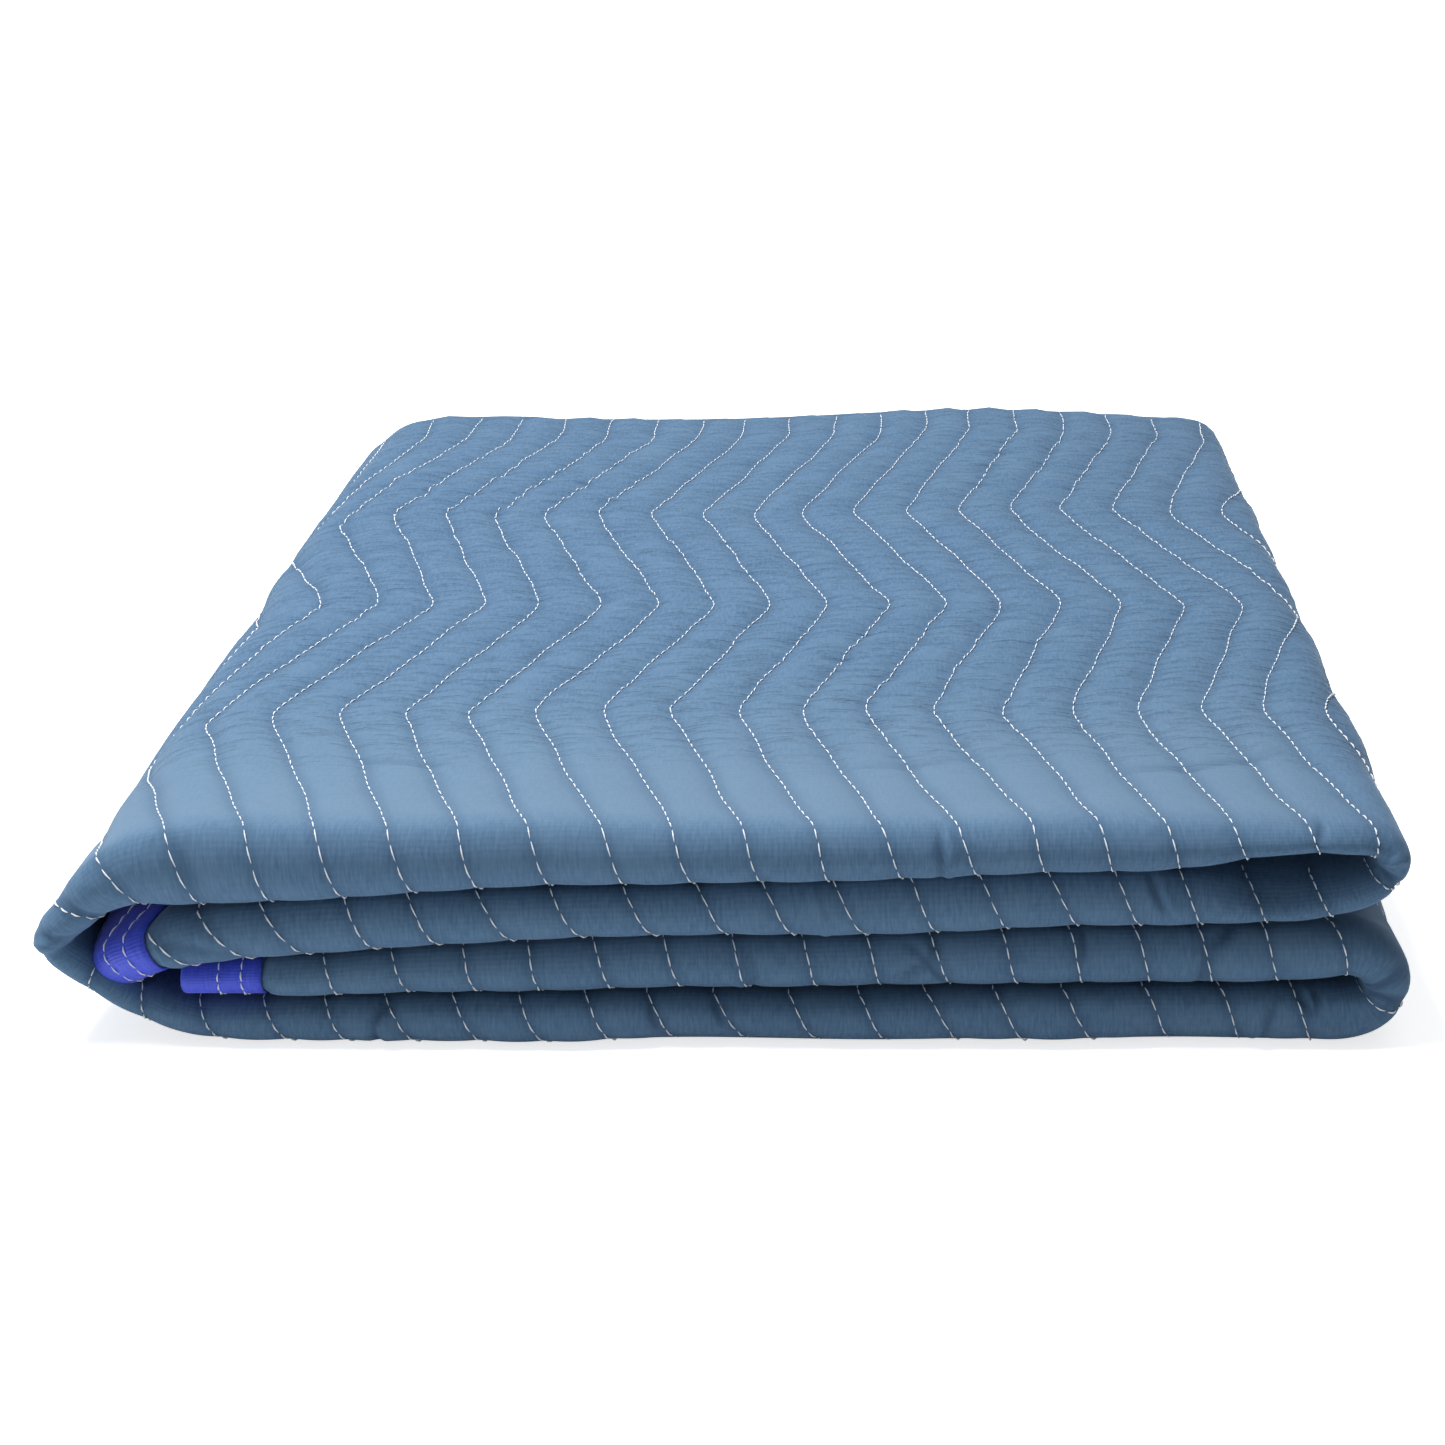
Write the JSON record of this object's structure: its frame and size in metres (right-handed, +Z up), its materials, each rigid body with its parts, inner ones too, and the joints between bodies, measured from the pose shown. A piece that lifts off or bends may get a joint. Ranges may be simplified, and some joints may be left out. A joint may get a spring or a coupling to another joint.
{
  "type": "moving blanket",
  "caption": "Quilted moving blanket folded flat into a layered package, zigzag stitching over blue padded cloth, woven tape binding on its two ends.",
  "frame": {"origin": "middle of the base, on the surface that the folded package rests on", "axes": "+X to the right along the open side of the folds, -Y towards the front rolls, +Z up"},
  "size_m": [0.4696, 0.5126, 0.0858],
  "materials": {
    "quilted_cloth": "matte brushed woven cloth, quilted with white thread",
    "binding_tape": "slightly glossy woven tape"
  },
  "bodies": {
    "root": {"quilted_pad": "quilted_cloth", "binding_upper": "binding_tape", "binding_lower": "binding_tape"}
  },
  "joints": []
}
